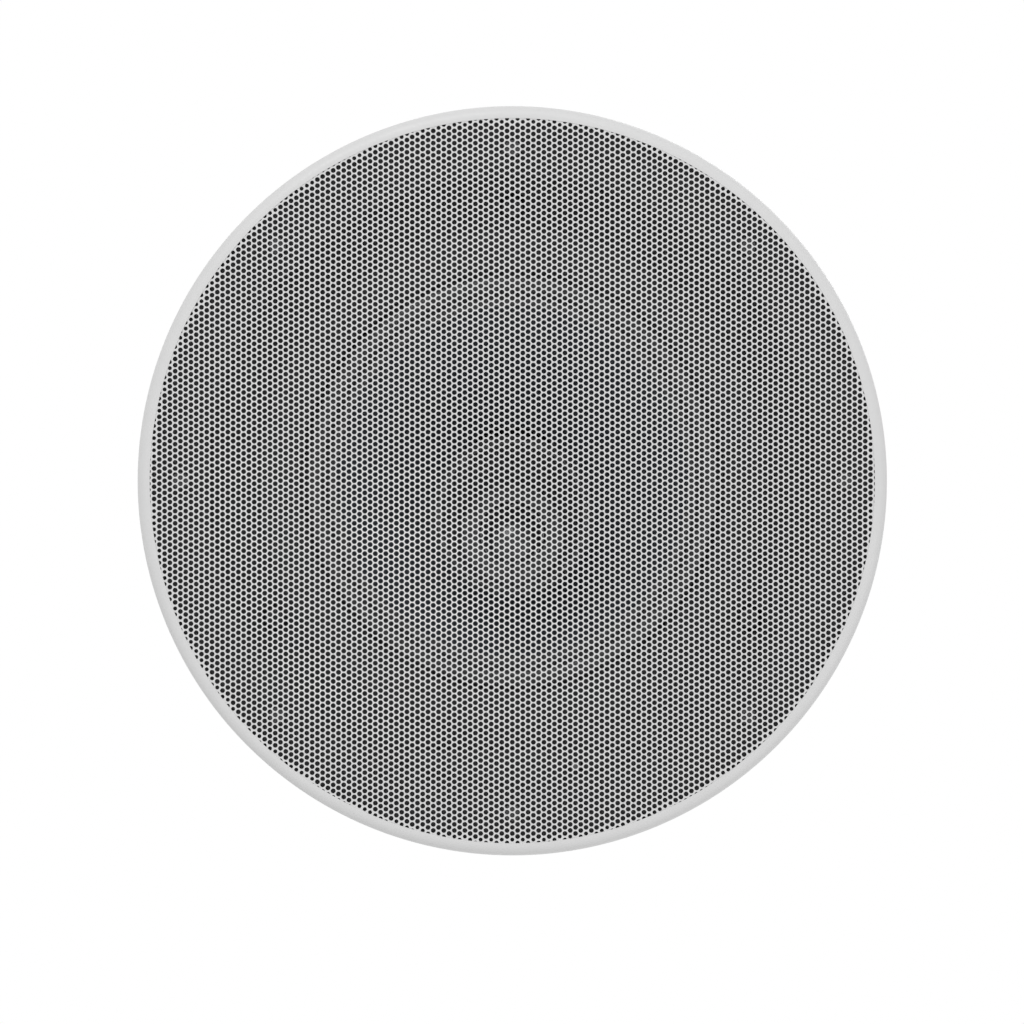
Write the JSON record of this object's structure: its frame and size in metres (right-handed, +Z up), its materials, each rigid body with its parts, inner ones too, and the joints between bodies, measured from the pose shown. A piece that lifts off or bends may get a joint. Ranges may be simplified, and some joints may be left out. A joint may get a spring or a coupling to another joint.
{
  "type": "in-ceiling speaker",
  "caption": "Round in-ceiling loudspeaker: a perforated magnetic grille over a woofer with an angled tweeter on a centre post, swing-out clamps, a level switch and push terminals.",
  "frame": {"origin": "on the speaker's axis, in the plane where the back of the flange meets the ceiling", "axes": "+Z up into the ceiling along the spigot's axis, the grille faces -Z, and the crossover and the level switch are on the +Y side"},
  "size_m": [0.247, 0.247, 0.0955],
  "materials": {
    "grille_paint": "satin powder coat",
    "frame_plastic": "moulded, fine texture",
    "magnet_epoxy": "dark epoxy coat",
    "clamp_nylon": "moulded, glass filled",
    "bush_brass": "turned",
    "black_screw": "black phosphate",
    "zinc_screw": "zinc plate",
    "surround_rubber": "smooth",
    "gasket_foam": "closed cell foam",
    "cone_poly": "satin",
    "spider_cloth": "treated cloth",
    "former_foil": "black anodised foil",
    "copper_wire": "enamelled winding",
    "basket_paint": "black powder coat",
    "plated_steel": "zinc plate",
    "bobbin_plastic": "moulded",
    "ferrite": "ground ferrite",
    "fibre_strip": "pressed fibre",
    "tag_brass": "tinned",
    "pod_plastic": "moulded, satin",
    "horn_plastic": "moulded, smooth",
    "dome_cloth": "coated cloth",
    "board_resin": "lacquered laminate",
    "capacitor_film": "wrapped film",
    "resistor_cement": "cast cement",
    "terminal_plastic": "moulded",
    "button_red_plastic": "moulded",
    "button_black_plastic": "moulded",
    "switch_plastic": "moulded",
    "slider_plastic": "moulded"
  },
  "bodies": {
    "housing": {"grille_magnets": "magnet_epoxy", "frame": "frame_plastic", "woofer_gasket": "gasket_foam", "woofer_surround": "surround_rubber", "woofer_spider": "spider_cloth", "woofer_basket": "basket_paint", "woofer_mount_screws": "zinc_screw", "woofer_top_plate": "plated_steel", "woofer_magnet": "ferrite", "woofer_yoke": "plated_steel", "woofer_terminal_strip": "fibre_strip", "woofer_tags": "tag_brass", "tweeter_pod": "pod_plastic", "tweeter_waveguide": "horn_plastic", "tweeter_screws": "black_screw", "tweeter_dome": "dome_cloth", "tweeter_voice_coil": "copper_wire", "tweeter_pole_plate": "plated_steel", "tweeter_magnet": "magnet_epoxy", "tweeter_cup": "plated_steel", "tweeter_post_nut": "zinc_screw", "level_switch_body": "switch_plastic", "crossover_board": "board_resin", "crossover_screws": "zinc_screw", "crossover_bobbins": "bobbin_plastic", "crossover_windings": "copper_wire", "crossover_capacitors": "capacitor_film", "crossover_resistor": "resistor_cement", "terminal_block": "terminal_plastic"},
    "grille": {"grille": "grille_paint"},
    "cone": {"woofer_cone": "cone_poly", "voice_coil_former": "former_foil", "voice_coil_winding": "copper_wire"},
    "level_slider": {"level_switch_slider": "slider_plastic"},
    "button_red": {"terminal_button_red": "button_red_plastic"},
    "button_black": {"terminal_button_black": "button_black_plastic"},
    "bush_1": {"clamp_bush_1": "bush_brass"},
    "dog_1": {"clamp_dog_1": "clamp_nylon"},
    "screw_1": {"clamp_screw_1": "black_screw"},
    "bush_2": {"clamp_bush_2": "bush_brass"},
    "dog_2": {"clamp_dog_2": "clamp_nylon"},
    "screw_2": {"clamp_screw_2": "black_screw"},
    "bush_3": {"clamp_bush_3": "bush_brass"},
    "dog_3": {"clamp_dog_3": "clamp_nylon"},
    "screw_3": {"clamp_screw_3": "black_screw"}
  },
  "joints": [
    {"name": "grille_pull", "type": "slide", "parent": "housing", "child": "grille", "axis": [0, 0, -1], "range_m": [0, 0.06]},
    {"name": "cone_travel", "type": "slide", "parent": "housing", "child": "cone", "axis": [0, 0, 1], "range_m": [-0.004, 0.004], "stiffness_N_per_m": 1000, "deforming": ["woofer_surround", "woofer_spider"]},
    {"name": "clamp_draw_1", "type": "slide", "parent": "housing", "child": "bush_1", "axis": [0, 0, 1], "range_m": [-0.03, 0]},
    {"name": "clamp_swing_1", "type": "hinge", "parent": "bush_1", "child": "dog_1", "pos_m": [0, -0.091, 0.045], "axis": [0, 0, 1], "range_deg": [0, 90]},
    {"name": "clamp_screw_turn_1", "type": "hinge", "parent": "housing", "child": "screw_1", "pos_m": [0, -0.091, 0.045], "axis": [0, 0, 1], "range_deg": [0, 5400]},
    {"name": "clamp_draw_2", "type": "slide", "parent": "housing", "child": "bush_2", "axis": [0, 0, 1], "range_m": [-0.03, 0]},
    {"name": "clamp_swing_2", "type": "hinge", "parent": "bush_2", "child": "dog_2", "pos_m": [0.07881, 0.0455, 0.045], "axis": [0, 0, 1], "range_deg": [0, 90]},
    {"name": "clamp_screw_turn_2", "type": "hinge", "parent": "housing", "child": "screw_2", "pos_m": [0.07881, 0.0455, 0.045], "axis": [0, 0, 1], "range_deg": [0, 5400]},
    {"name": "clamp_draw_3", "type": "slide", "parent": "housing", "child": "bush_3", "axis": [0, 0, 1], "range_m": [-0.03, 0]},
    {"name": "clamp_swing_3", "type": "hinge", "parent": "bush_3", "child": "dog_3", "pos_m": [-0.07881, 0.0455, 0.045], "axis": [0, 0, 1], "range_deg": [0, 90]},
    {"name": "clamp_screw_turn_3", "type": "hinge", "parent": "housing", "child": "screw_3", "pos_m": [-0.07881, 0.0455, 0.045], "axis": [0, 0, 1], "range_deg": [0, 5400]},
    {"name": "level_switch", "type": "slide", "parent": "housing", "child": "level_slider", "axis": [1, 0, 0], "range_m": [-0.0015, 0.0015]},
    {"name": "terminal_red", "type": "slide", "parent": "housing", "child": "button_red", "axis": [0, -1, 0], "range_m": [0, 0.0025], "stiffness_N_per_m": 800, "springref_m": -0.0015},
    {"name": "terminal_black", "type": "slide", "parent": "housing", "child": "button_black", "axis": [0, -1, 0], "range_m": [0, 0.0025], "stiffness_N_per_m": 800, "springref_m": -0.0015}
  ],
  "couplings": [
    {"joint": "clamp_screw_turn_1", "follows": "clamp_draw_1", "rad_per_m": -3141.6},
    {"joint": "clamp_screw_turn_2", "follows": "clamp_draw_2", "rad_per_m": -3141.6},
    {"joint": "clamp_screw_turn_3", "follows": "clamp_draw_3", "rad_per_m": -3141.6}
  ]
}
